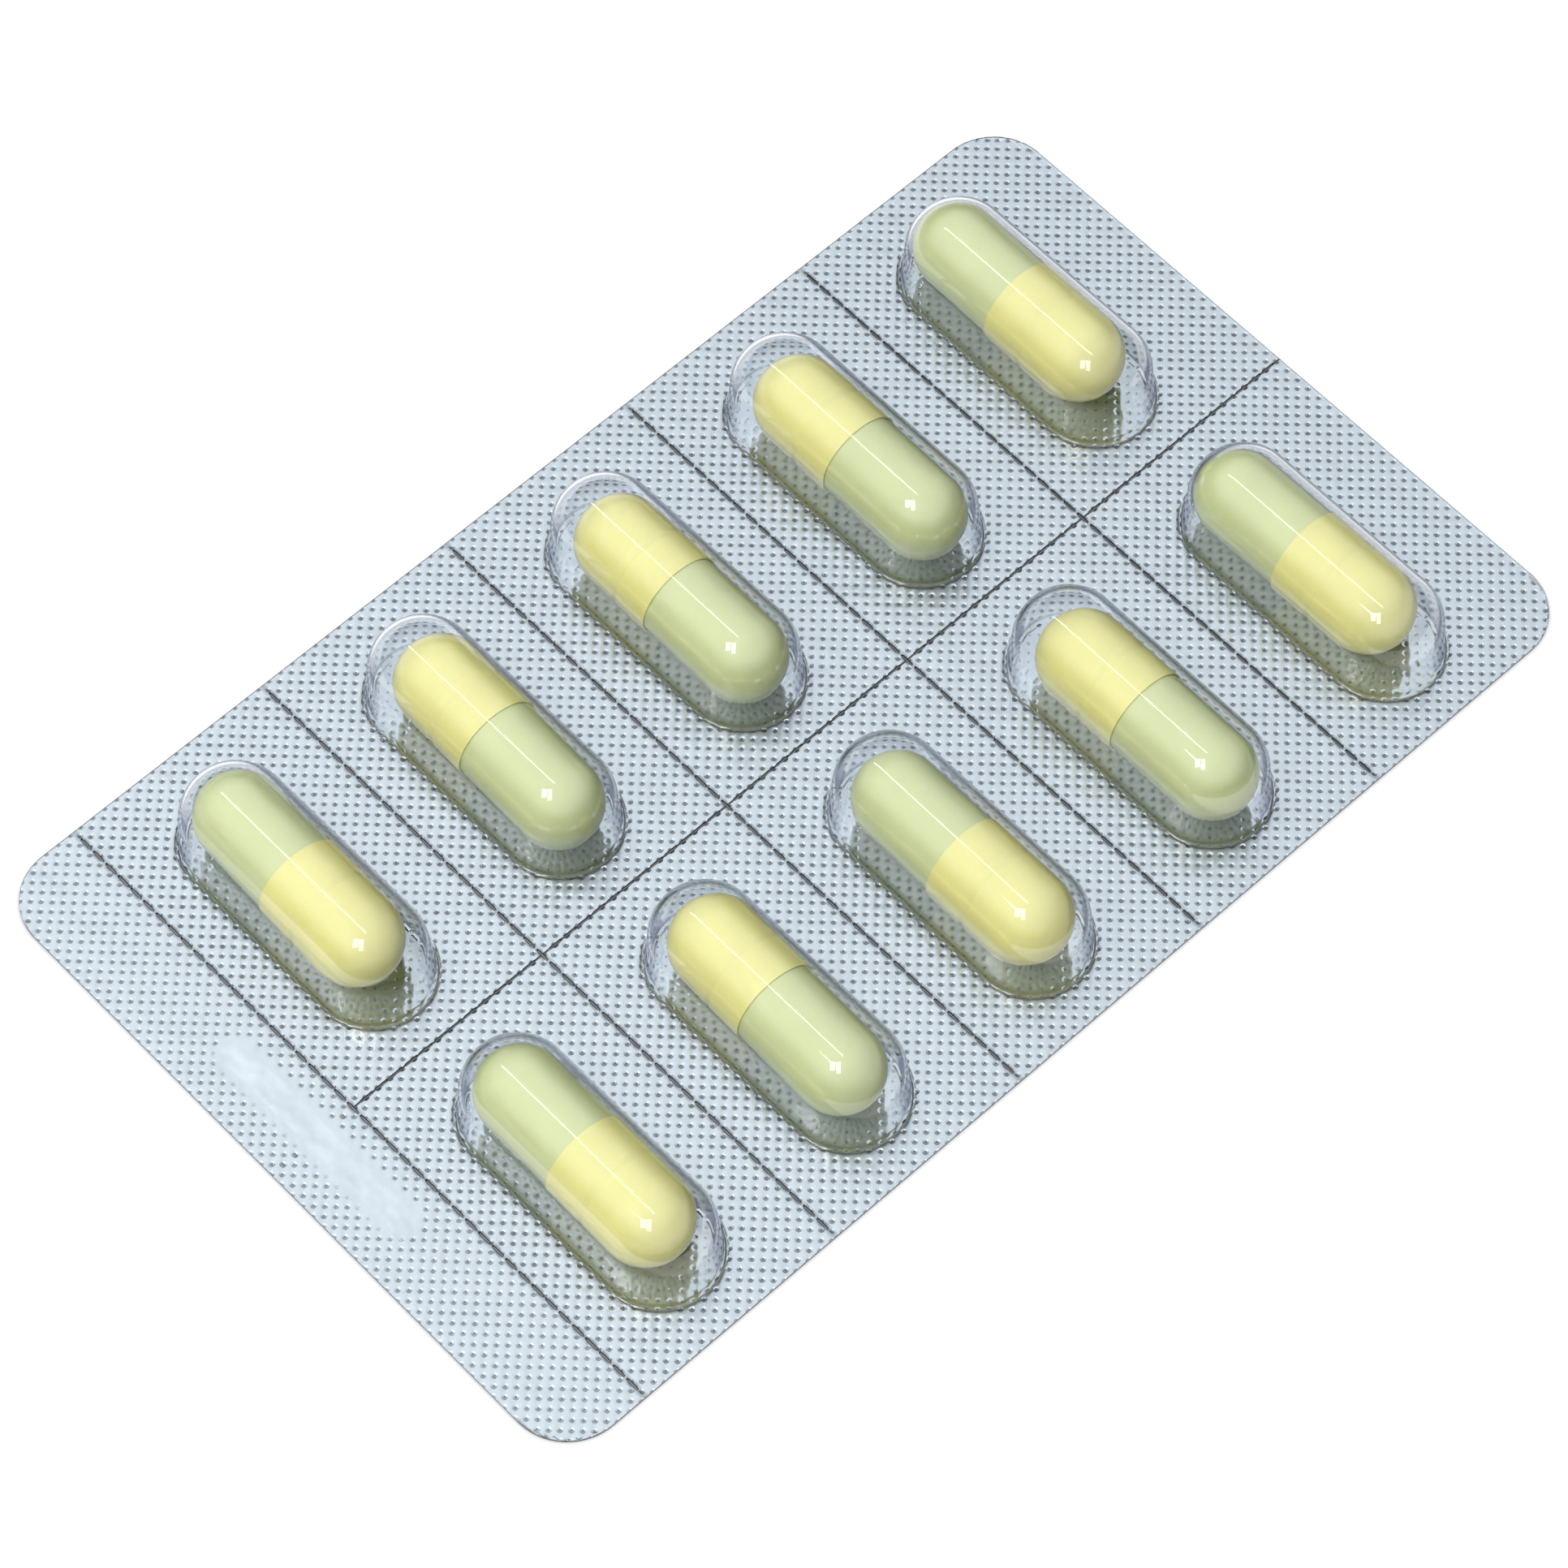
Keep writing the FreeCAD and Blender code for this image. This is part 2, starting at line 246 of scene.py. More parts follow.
def clear_film_material(colours):
    """Clear PVC film, thermoformed: glossy and hardly tinted face on. Where the eye looks down
    along a steep wall it carries a painted dark blue-grey shade, standing in for the film's
    thickness seen edge on and the dark that the wall mirrors. A slow ripple makes its highlights
    waver, and it lets lamplight through."""
    material, tree, output = new_material("thermoformed_clear_PVC")
    place = add_node(tree, "ShaderNodeTexCoord")
    ripple = add_node(tree, "ShaderNodeTexNoise", {
        "Vector": place.outputs["Object"], "Scale": 1 / (6 * MM), "Detail": 1.0})
    bump = add_node(tree, "ShaderNodeBump", {
        "Height": ripple.outputs["Fac"], "Strength": 0.1, "Distance": 0.1 * MM})
    # Painted shade where a steep wall is seen edge on
    lean = add_node(tree, "ShaderNodeLayerWeight", {"Blend": 0.5})
    edge_on = add_node(tree, "ShaderNodeMapRange", {
        "Value": lean.outputs["Facing"], "From Min": 0.6, "From Max": 0.85},
        interpolation_type="SMOOTHSTEP")
    faces = add_node(tree, "ShaderNodeSeparateXYZ", {0: place.outputs["Normal"]})
    steep = add_node(tree, "ShaderNodeMapRange", {
        "Value": math_node(tree, "ABSOLUTE", faces.outputs["Z"]), "From Min": 0.1,
        "From Max": 0.5, "To Min": 1.0, "To Max": 0.45}, interpolation_type="SMOOTHSTEP")
    film_tint_and_painted_shade = add_node(tree, "ShaderNodeMix", {
        0: math_node(tree, "MULTIPLY", edge_on.outputs[0], steep.outputs[0]),
        "A": tuple(colours.film), "B": tuple(colours.film_edge_painted_shade)}, data_type="RGBA")
    glass = add_node(tree, "ShaderNodeBsdfPrincipled", {
        "Base Color": film_tint_and_painted_shade.outputs["Result"], "Transmission Weight": 1.0,
        "Roughness": 0.012, "IOR": 1.53, "Normal": bump.outputs[0]})
    passing = add_node(tree, "ShaderNodeBsdfTransparent", {"Color": tuple(colours.film_shade)})
    path = add_node(tree, "ShaderNodeLightPath")
    mixed = add_node(tree, "ShaderNodeMixShader", {
        0: path.outputs["Is Shadow Ray"], 1: glass.outputs[0], 2: passing.outputs[0]})
    tree.links.new(mixed.outputs[0], output.inputs["Surface"])
    return material


def cut_painted_shade_material(colours):
    """Film and foil sheared by the perforating knife: a dull edge, painted dark as the shade
    inside the narrow cuts.
    """
    material, tree, output = new_material("sheared_edge_painted_shade")
    place = add_node(tree, "ShaderNodeTexCoord")
    grain = add_node(tree, "ShaderNodeTexNoise", {
        "Vector": place.outputs["Object"], "Scale": 1 / (0.4 * MM)})
    shade = add_node(tree, "ShaderNodeMix", {
        0: grain.outputs["Fac"], "A": tuple(0.6 * v for v in colours.cut),
        "B": tuple(1.4 * v for v in colours.cut)}, data_type="RGBA")
    dull = add_node(tree, "ShaderNodeBsdfPrincipled", {"Roughness": 0.6})
    tree.links.new(shade.outputs["Result"], dull.inputs["Base Color"])
    tree.links.new(dull.outputs[0], output.inputs["Surface"])
    return material


def foil_material(colours):
    """Hard aluminium foil, rolled bright and knurled by the sealing tool: a cool silver land that
    mirrors softly, with small pits whose bottoms are painted dark as shade, and painted shade
    beside the tear lines. It stays brighter inside the pockets, where no tool pressed it and the
    painted pit shade is weaker, so that it mirrors the capsule."""
    material, tree, output = new_material("knurled_aluminium_foil")
    place = add_node(tree, "ShaderNodeUVMap", uv_map="knurl")
    parts = add_node(tree, "ShaderNodeSeparateXYZ", {0: place.outputs[0]})
    turns = [math_node(tree, "MULTIPLY", parts.outputs[axis], math.tau) for axis in ("X", "Y")]
    product = math_node(tree, "MULTIPLY", *(math_node(tree, "COSINE", turn) for turn in turns))
    depth = add_node(tree, "ShaderNodeAttribute", attribute_name="knurl_depth")
    # Painted shade at the bottom of each pit, weaker where the knurl is shallower
    pit = add_node(tree, "ShaderNodeMapRange", {
        "Value": product, "From Min": 0.68, "From Max": 0.98}, interpolation_type="SMOOTHSTEP")
    dark = math_node(tree, "MULTIPLY", pit.outputs[0], depth.outputs["Fac"])
    # Painted shade beside the tear lines, standing in for the shade inside the cuts
    painted_tear_shade = add_node(tree, "ShaderNodeAttribute", attribute_name="painted_tear_shade")
    dark = math_node(tree, "MAXIMUM", dark, painted_tear_shade.outputs["Fac"])
    shade = add_node(tree, "ShaderNodeMix", {"A": tuple(colours.foil),
                                             "B": tuple(colours.pit_painted_shade)}, data_type="RGBA")
    tree.links.new(dark, shade.inputs[0])
    dent = add_node(tree, "ShaderNodeMapRange", {
        "Value": product, "From Min": 0.2, "From Max": 1.0}, interpolation_type="SMOOTHSTEP")
    dents = math_node(tree, "MULTIPLY", dent.outputs[0], depth.outputs["Fac"])
    # Slow waves of a few millimetres, higher than a dent, show most in the smooth stamped field
    wave_height = 2.5
    ground = add_node(tree, "ShaderNodeTexCoord")
    wave = add_node(tree, "ShaderNodeTexNoise", {
        "Vector": ground.outputs["Object"], "Scale": 1 / (3 * MM), "Detail": 2.0})
    waves = math_node(tree, "MULTIPLY", wave.outputs["Fac"], wave_height)
    height = math_node(tree, "ADD", dents, waves)
    bump = add_node(tree, "ShaderNodeBump", {
        "Height": height, "Strength": 0.8, "Distance": 0.05 * MM}, invert=True)
    pocket = add_node(tree, "ShaderNodeAttribute", attribute_name="in_pocket")
    roughness = add_node(tree, "ShaderNodeMapRange", {
        "Value": pocket.outputs["Fac"], "To Min": 0.26, "To Max": 0.1})
    metal = add_node(tree, "ShaderNodeBsdfPrincipled", {
        "Base Color": shade.outputs["Result"], "Metallic": 1.0,
        "Roughness": roughness.outputs[0], "Normal": bump.outputs[0]})
    tree.links.new(metal.outputs[0], output.inputs["Surface"])
    return material


def gelatin_material(name, base, see_through):
    """Hard gelatin shell, dipped and dried: glossy, a little see-through, soft inside."""
    material, tree, output = new_material(name)
    place = add_node(tree, "ShaderNodeTexCoord")
    cloud = add_node(tree, "ShaderNodeTexNoise", {
        "Vector": place.outputs["Object"], "Scale": 1 / (4 * MM), "Detail": 2.0})
    shade = add_node(tree, "ShaderNodeMix", {
        0: cloud.outputs["Fac"], "A": tuple(0.94 * v for v in base),
        "B": tuple(min(1.0, 1.05 * v) for v in base)}, data_type="RGBA")
    shell = add_node(tree, "ShaderNodeBsdfPrincipled", {
        "Base Color": shade.outputs["Result"], "Roughness": 0.07, "IOR": 1.5,
        "Alpha": 1 - see_through})
    tree.links.new(shell.outputs[0], output.inputs["Surface"])
    return material


def powder_material(colours):
    """Packed powder: matt and pale, with a fine grain, faintly seen through the shells."""
    material, tree, output = new_material("packed_powder")
    place = add_node(tree, "ShaderNodeTexCoord")
    grain = add_node(tree, "ShaderNodeTexNoise", {
        "Vector": place.outputs["Object"], "Scale": 1 / (0.3 * MM), "Detail": 3.0})
    bump = add_node(tree, "ShaderNodeBump", {
        "Height": grain.outputs["Fac"], "Strength": 0.4, "Distance": 0.05 * MM})
    dust = add_node(tree, "ShaderNodeBsdfPrincipled", {
        "Base Color": tuple(colours.powder), "Roughness": 0.9, "Normal": bump.outputs[0]})
    tree.links.new(dust.outputs[0], output.inputs["Surface"])
    return material


def merged(points, faces):
    """Merges equal points and drops triangles without area. Returns the kept points and faces,
    which points they were, and which faces stayed."""
    _, first, index = np.unique(np.round(points / MERGE_WITHIN).astype(np.int64), axis=0,
                                return_index=True, return_inverse=True)
    faces = index.reshape(-1)[faces]
    a, b, c = faces.T
    kept = (a != b) & (b != c) & (c != a)
    return points[first], faces[kept], first, kept


def make_piece(name, points, faces, materials, kinds, sharp_above=40):
    """Makes an object at the origin from points and triangles."""
    mesh = bpy.data.meshes.new(name)
    mesh.vertices.add(len(points))
    mesh.vertices.foreach_set("co", points.ravel())
    mesh.loops.add(faces.size)
    mesh.loops.foreach_set("vertex_index", faces.ravel().astype(np.int32))
    mesh.polygons.add(len(faces))
    mesh.polygons.foreach_set("loop_start", np.arange(0, faces.size, 3, dtype=np.int32))
    mesh.polygons.foreach_set("loop_total", np.full(len(faces), 3, dtype=np.int32))
    for material in materials:
        mesh.materials.append(material)
    mesh.polygons.foreach_set("material_index", kinds.astype(np.int32))
    mesh.update(calc_edges=True)
    mesh.shade_smooth()
    mesh.set_sharp_from_angle(angle=math.radians(sharp_above))
    piece = bpy.data.objects.new(name, mesh)
    bpy.context.scene.collection.objects.link(piece)
    return piece


def set_knurl_map(piece, uv, maps):
    """Stores each point's place in the knurl, and its value in each map of the foil."""
    loops = np.zeros(len(piece.data.loops), np.int32)
    piece.data.loops.foreach_get("vertex_index", loops)
    piece.data.uv_layers.new(name="knurl").data.foreach_set("uv", uv[loops].ravel())
    for name, values in zip(("knurl_depth", "in_pocket", "painted_tear_shade"), maps.T):
        attribute = piece.data.attributes.new(name, "FLOAT", "POINT")
        attribute.data.foreach_set("value", values.astype(np.float32))


def tear_lines(plan):
    """Places of the cross tear lines along the pack, from the margin end."""
    pitch = (FILM_HIGH.x - FILM_LOW.x - plan.end_strip - plan.end_margin) / plan.cells
    return FILM_HIGH.x - plan.end_margin - pitch * np.arange(1, plan.cells + 1)


def cut_places(plan, start, end):
    """Middles of the cuts that fit between two ends."""
    pitch = plan.cut_length + plan.cut_tie
    room = end - start - 2 * plan.cut_from_edge + plan.cut_tie
    count = int(room / pitch + COUNT_SLACK)
    return (start + end) / 2 + (np.arange(count) - (count - 1) / 2) * pitch


def middle_cuts(plan):
    """Middles of the cuts of the middle line, cell by cell."""
    stops = np.concatenate([[FILM_HIGH.x], tear_lines(plan)])
    return np.concatenate([cut_places(plan, low, high) for high, low in zip(stops, stops[1:])])


def roof_centre(pocket):
    """Height of the roof's centre: the film's top less its thickness and the inner radius."""
    return FILM_HIGH.z - pocket.film - pocket.roof_radius


def foot_half(pocket):
    """Half the width of a pocket where its outer wall meets the flat film."""
    rise = roof_centre(pocket) - FILM_LOW.z - pocket.film - pocket.foot_radius
    reach = pocket.roof_radius + pocket.film + pocket.foot_radius
    return (reach + rise * math.sin(pocket.draft)) / math.cos(pocket.draft)


def pocket_centres(plan, pocket):
    """Middle of each pocket in plan, upper row first."""
    half_length = pocket.half_run + foot_half(pocket)
    x = tear_lines(plan) + plan.below_pocket + foot_half(pocket)
    rows = (plan.upper_row_gap + half_length, -plan.lower_row_gap - half_length)
    return np.array([(cx, cy) for cy in rows for cx in x])


def outline(plan, inset, steps=20):
    """Rectangle with round corners, in plan: each corner is a quarter circle about its centre."""
    radius = plan.corner_radius - inset
    x, y = FILM_HIGH.x - inset - radius, FILM_HIGH.y - inset - radius
    turn = np.linspace(0, math.pi / 2, steps + 1)[None] + np.arange(4)[:, None] * math.pi / 2
    centre_x = np.array([x, -x, -x, x])[:, None]
    centre_y = np.array([y, y, -y, -y])[:, None]
    return np.stack([centre_x + radius * np.cos(turn), centre_y + radius * np.sin(turn)],
                    -1).reshape(-1, 2)


def cut_outlines(plan):
    """Corners of every cut in plan, as an array of rectangles."""
    along, across = plan.cut_length / 2, plan.cut_width / 2
    corners = np.array([(-1, -1), (1, -1), (1, 1), (-1, 1)])
    places = [(x, y) for x in tear_lines(plan)
              for y in cut_places(plan, FILM_LOW.y, FILM_HIGH.y)]
    cross = np.array(places)[:, None] + corners * (across, along)
    middle = np.stack([middle_cuts(plan), np.zeros(len(middle_cuts(plan)))], -1)
    return np.concatenate([cross, middle[:, None] + corners * (along, across)])


def grid_triangles(rows, columns, wrap):
    """Two triangles for each square of a grid of points. With wrap, the last column joins the
    first."""
    i, j = np.meshgrid(np.arange(rows - 1), np.arange(columns if wrap else columns - 1),
                       indexing="ij")
    i, j = i.reshape(-1), j.reshape(-1)
    k = (j + 1) % columns
    a, b, c, d = i * columns + j, (i + 1) * columns + j, (i + 1) * columns + k, i * columns + k
    return np.concatenate([np.stack([a, b, c], 1), np.stack([a, c, d], 1)])


def loop_labels(edges, count):
    """One number for all the points that edges join, found by passing the lowest on."""
    label = np.arange(count)
    while True:
        lower = label.copy()
        np.minimum.at(lower, edges[:, 0], label[edges[:, 1]])
        np.minimum.at(lower, edges[:, 1], label[edges[:, 0]])
        lower = lower[lower]
        if (lower == label).all():
            return label
        label = lower


def flat_fill(points, edges):
    """Triangles that fill the space between loops of edges, by a constrained triangulation. All
    loops but the outer one are rounded outwards, so a triangle with its three corners on one
    of them lies in an opening and is left out. The triangles face up."""
    flat = (points[:, :2] / MM).tolist()
    verts, _, fill, origin, _, _ = delaunay_2d_cdt(flat, edges.tolist(), [], INNER_TRIANGLES,
                                                   TRIANGULATE_WITHIN, True)
    if len(verts) != len(points):
        raise RuntimeError("two outlines of a flat sheet cross or touch")
    fill = np.array(origin).reshape(-1)[np.array(fill)]
    loop = loop_labels(edges, len(points))
    outer = loop[np.argmax(points[:, 0])]
    opening = (loop[fill] == loop[fill[:, :1]]).all(1) & (loop[fill[:, 0]] != outer)
    return fill[~opening]


def loop_edges(loops):
    """Edges round each loop of an array or list of loops, numbered in order."""
    edges, start = [], 0
    for loop in loops:
        own = np.arange(len(loop))
        edges.append(np.stack([own, np.roll(own, -1)], 1) + start)
        start += len(loop)
    return np.concatenate(edges)


def pocket_section(pocket, offset, steps_roof=26, steps_wall=3, steps_foot=12):
    """One side of the pocket wall in section, from its top to the flat film: an arc about the
    roof's centre, a leaning line, an arc about the foot's centre, and a narrow flat collar that
    keeps the flat film's reflections straight. offset is 0 for the inner side and the film's
    thickness for the outer one. Returns half widths and heights."""
    radius = pocket.roof_radius + offset
    foot_radius = pocket.foot_radius + pocket.film - offset
    foot_z = FILM_LOW.z + pocket.film + pocket.foot_radius
    roof = np.linspace(math.pi / 2, pocket.draft, steps_roof + 1)
    foot = np.linspace(math.pi + pocket.draft, 1.5 * math.pi, steps_foot + 1)
    arc = np.stack([radius * np.cos(roof), roof_centre(pocket) + radius * np.sin(roof)], 1)
    bend = np.stack([foot_half(pocket) + foot_radius * np.cos(foot),
                     foot_z + foot_radius * np.sin(foot)], 1)
    share = np.linspace(0, 1, steps_wall + 2)[1:-1, None]
    collar = bend[-1:] + (COLLAR, 0)
    return np.concatenate([arc, arc[-1:] * (1 - share) + bend[:1] * share, bend, collar])


def stadium_path(half_run, steps_turn=36, steps_run=10):
    """Directions and centres along a path of two straight runs and two half circles, once
    round. Returns cosines, sines and the centre's place along the pocket."""
    turn = np.linspace(0, math.pi, steps_turn + 1)
    run = np.linspace(half_run, -half_run, steps_run + 1)[1:-1]
    angles = np.concatenate([turn, np.full(len(run), math.pi), turn + math.pi,
                             np.zeros(len(run))])
    centres = np.concatenate([np.full(len(turn), half_run), run, np.full(len(turn), -half_run),
                              -run])
    return np.cos(angles), np.sin(angles), centres


def pocket_surface(pocket, offset, centre):
    """The section carried round the path: point = centre + half width x direction, with the
    section's height. Returns points in rows from the top down."""
    section = pocket_section(pocket, offset)
    cosine, sine, run = stadium_path(pocket.half_run)
    half_width, height = section[:, :1], section[:, 1:]
    x = centre[0] + half_width * cosine[None]
    y = centre[1] + half_width * sine[None] + run[None]
    return np.stack([x, y, np.broadcast_to(height, x.shape)], -1)


def upright_walls(loops, low, high):
    """Points and triangles of walls that stand on loops in plan, between two heights. They face
    out of a loop that runs counterclockwise."""
    flat, edges = np.concatenate(loops), loop_edges(loops)
    count = len(flat)
    points = np.concatenate([np.column_stack([flat, np.full(count, low)]),
                             np.column_stack([flat, np.full(count, high)])])
    p, q = edges.T
    return points, np.concatenate([np.stack([p, q, q + count], 1),
                                   np.stack([p, q + count, p + count], 1)])


def joined(parts):
    """Puts parts of a mesh together, each given as points, triangles and the triangles' kind.
    Returns all points, all triangles and a kind for each triangle."""
    points = [own.reshape(-1, 3) for own, _, _ in parts]
    starts = np.cumsum([0, *(len(own) for own in points)])
    faces = [own + start for (_, own, _), start in zip(parts, starts)]
    kinds = [np.full(len(own), kind) for _, own, kind in parts]
    return np.concatenate(points), np.concatenate(faces), np.concatenate(kinds)


def formed_film(plan, pocket):
    """Clear film: two flat sheets with openings, walls round the outline and the cuts, and an
    outer and an inner surface for each pocket."""
    outer = [pocket_surface(pocket, pocket.film, c) for c in pocket_centres(plan, pocket)]
    inner = [pocket_surface(pocket, 0.0, c) for c in pocket_centres(plan, pocket)]
    rows, columns = outer[0].shape[:2]
    grid = grid_triangles(rows, columns, True)
    parts = [(surface, grid, PLAIN) for surface in outer]
    parts += [(surface, grid[:, ::-1], PLAIN) for surface in inner]
    edge, cuts = outline(plan, 0.0), list(cut_outlines(plan))
    top, bottom = FILM_LOW.z + pocket.film, FILM_LOW.z
    for surfaces, z, turn in ((outer, top, 1), (inner, bottom, -1)):
        loops = [edge, *cuts, *(surface[-1, :, :2] for surface in surfaces)]
        # The path names the ends of its straight runs twice, so equal points go first
        loops = [loop[np.any(loop != np.roll(loop, 1, 0), 1)] for loop in loops]
        flat = np.concatenate(loops)
        fill = flat_fill(flat, loop_edges(loops))
        parts.append((np.column_stack([flat, np.full(len(flat), z)]), fill[:, ::turn], PLAIN))
    for loops, kind, turn in (([edge], PLAIN, 1), (cuts, SHEARED_PAINTED_SHADE, -1)):
        wall_points, wall = upright_walls(loops, bottom, top)
        parts.append((wall_points, wall[:, ::turn], kind))
    points, faces, kinds = joined(parts)
    points, faces, _, kept = merged(points, faces)
    return points, faces, kinds[kept]


def foil_columns(plan, knurl):
    """Grid columns along the pack: several for each knurl period, and a thin gap at each tear
    line. Returns their places, their knurl phase and which gaps are tear lines."""
    half = FILM_HIGH.x - knurl.edge_inset
    gap = plan.cut_width / 2 + CUT_CLEAR
    stops = [-half, *sorted(float(v) for v in tear_lines(plan)), half]
    places, phases, thin, phase = [], [], [], 0
    for start, end in zip(stops, stops[1:]):
        low = start if start == -half else start + gap
        high = end if end == half else end - gap
        steps = round((high - low) / (knurl.period / SQUARES))
        places.append(np.linspace(low, high, steps + 1))
        phases.append((phase + np.arange(steps + 1)) / SQUARES)
        thin += [False] * steps + [True]
        phase += steps + 1
    return np.concatenate(places), np.concatenate(phases), np.array(thin[:-1])


def foil_rows(plan, knurl):
    """Grid rows across the pack, from the middle line outwards, several for each knurl period.
    Returns their places, their phase and the number of the gap along the middle line."""
    half = FILM_HIGH.y - knurl.edge_inset
    step = knurl.period / SQUARES
    count = int(half / step)
    out = np.concatenate([[plan.cut_width / 2 + CUT_CLEAR], step * np.arange(1, count + 1),
                          [half]])
    phase = np.arange(count + 2) / SQUARES
    return np.concatenate([-out[::-1], out]), np.concatenate([-phase[::-1], phase]), count + 1


def half_width_at(plan, x, inset):
    """Half the pack's width at a place along it: the straight side less what a corner's circle
    takes off."""
    radius = plan.corner_radius - inset
    over = np.clip(np.abs(x) - (FILM_HIGH.x - inset - radius), 0, radius)
    return FILM_HIGH.y - inset - radius + np.sqrt(np.maximum(radius ** 2 - over ** 2, 0))


def inside_pocket(plan, pocket, x, y):
    """1 inside a pocket's foot and 0 outside, rising from its outline inwards."""
    result = np.zeros_like(x)
    for centre_x, centre_y in pocket_centres(plan, pocket):
        beyond = np.maximum(np.abs(y - centre_y) - pocket.half_run, 0)
        inward = foot_half(pocket) - np.hypot(x - centre_x, beyond)
        result = np.maximum(result, np.clip(inward / POCKET_BLEND, 0, 1))
    return result


def in_stamped_field(knurl, x, y):
    """1 in the smooth field on the end strip and 0 outside: a rectangle with round ends."""
    half_width = knurl.field_width / 2
    beyond = np.maximum(np.abs(y) - (knurl.field_length / 2 - half_width), 0)
    inward = half_width - np.hypot(x - (FILM_LOW.x + knurl.field_x), beyond)
    return np.clip(inward / FIELD_BLEND, 0, 1)


def tear_line_painted_shade(plan, ys, thin):
    """Painted shade on the foil's points beside the cross tear lines, standing in for the shade in
    the cuts: 1 by a cut, less by a tie, and 0 elsewhere."""
    beside = np.append(thin, False) | np.insert(thin, 0, False)
    cross_cuts = cut_places(plan, FILM_LOW.y, FILM_HIGH.y)
    by_cut = np.abs(ys[:, None] - cross_cuts).min(1) < plan.cut_length / 2 - CUT_CLEAR
    return beside[:, None] * np.where(by_cut, 1.0, TIE_PAINTED_SHADE)


def foil_faces(plan, xs, ys, thin, middle):
    """Triangles of the foil's grid without the squares of each cut, and their kinds. Only the ties
    of the middle line count as sheared, and get the cut's painted shade."""
    columns, rows = len(xs), len(ys)
    faces = grid_triangles(columns, rows, False)
    column, row = np.divmod(np.tile(np.arange((columns - 1) * (rows - 1)), 2), rows - 1)
    mid_x, mid_y = (xs[column] + xs[column + 1]) / 2, (ys[row] + ys[row + 1]) / 2
    half_cut = plan.cut_length / 2
    across = np.abs(mid_y[:, None] - cut_places(plan, FILM_LOW.y, FILM_HIGH.y)).min(1)
    along = np.abs(mid_x[:, None] - middle_cuts(plan)).min(1)
    on_cross, on_middle = thin[column], (row == middle) & (mid_x > tear_lines(plan)[-1])
    cut = (on_cross & (across < half_cut)) | (on_middle & ~on_cross & (along < half_cut))
    return faces[~cut], np.where(on_middle[~cut], SHEARED_PAINTED_SHADE, PLAIN)


def knurled_sheet(plan, pocket, knurl):
    """Upper side of the foil as one grid: height = land rise - pit depth x
    ((1 + cos u cos v) / 2) to a power, where u and v run one full turn a knurl period. The
    squares of each cut are left out. Returns points, triangles and their kinds, and each
    point's u and v and its values in the foil's maps."""
    xs, us, thin = foil_columns(plan, knurl)
    ys, vs, middle = foil_rows(plan, knurl)
    x, y = np.meshgrid(xs, ys, indexing="ij")
    u, v = np.meshgrid(us, vs, indexing="ij")
    limit = half_width_at(plan, xs, knurl.edge_inset)[:, None]
    pit = ((1 + np.cos(math.tau * u) * np.cos(math.tau * v)) / 2) ** knurl.roundness
    # Rows past a round corner fall together on the outline, so they have no pit there
    pit[np.abs(y) >= limit] = 0
    y = np.clip(y, -limit, limit)
    within, field = inside_pocket(plan, pocket, x, y), in_stamped_field(knurl, x, y)
    rise = knurl.land_rise * (1 - within) + knurl.pocket_rise * within
    on_strip = (x < tear_lines(plan)[-1]).astype(float)
    depth = (1 - POCKET_LOSS * within) * (1 - field) * (1 - STRIP_LOSS * on_strip)
    z = FOIL_HIGH.z + rise - knurl.pit_depth * (depth * pit + FIELD_DEPTH * field)
    faces, kinds = foil_faces(plan, xs, ys, thin, middle)
    maps = np.stack([depth, within, tear_line_painted_shade(plan, ys, thin)], -1)
    return (np.stack([x, y, z], -1).reshape(-1, 3), faces, kinds,
            np.stack([u, v], -1).reshape(-1, 2), maps.reshape(-1, 3))


def closed_below(points, faces, kinds, z):
    """Closes a sheet into a solid: a wall down from every open edge, and a flat underside."""
    edges = faces[:, [[0, 1], [1, 2], [2, 0]]].reshape(-1, 2)
    code = edges.min(1) * len(points) + edges.max(1)
    _, place, count = np.unique(code, return_index=True, return_counts=True)
    rim = edges[place[count == 1]]
    used, lower = np.unique(rim, return_inverse=True)
    lower = lower.reshape(-1, 2)
    below = points[used].copy()
    below[:, 2] = z
    fill = flat_fill(below, lower)[:, ::-1] + len(points)
    p, q = rim.T
    below_p, below_q = lower.T + len(points)
    walls = np.concatenate([np.stack([q, p, below_p], 1), np.stack([q, below_p, below_q], 1)])
    kinds = np.concatenate([kinds, np.full(len(walls), SHEARED_PAINTED_SHADE), np.full(len(fill), PLAIN)])
    return np.concatenate([points, below]), np.concatenate([faces, walls, fill]), kinds


class BLISTER_OT_foil(bpy.types.Operator):
    """Lay the knurled foil"""
    bl_idname = "blister.foil"
    bl_label = "Foil"

    def execute(self, context):
        scene = context.scene
        colours, knurl = scene.blister_colours, scene.blister_knurl
        points, faces, kinds, uv, maps = knurled_sheet(
            scene.blister_plan, scene.blister_pocket, knurl)
        points, faces, first, kept = merged(points, faces)
        closed, faces, kinds = closed_below(points, faces, kinds[kept], FOIL_LOW.z)
        piece = make_piece("knurled_foil", closed, faces,
                           [foil_material(colours), cut_painted_shade_material(colours)], kinds)
        below = len(closed) - len(points)
        set_knurl_map(piece, np.concatenate([uv[first], np.zeros((below, 2))]),
                      np.concatenate([maps[first], np.zeros((below, 3))]))
        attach(piece, "root")
        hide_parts("lidding_foil")
        return {"FINISHED"}


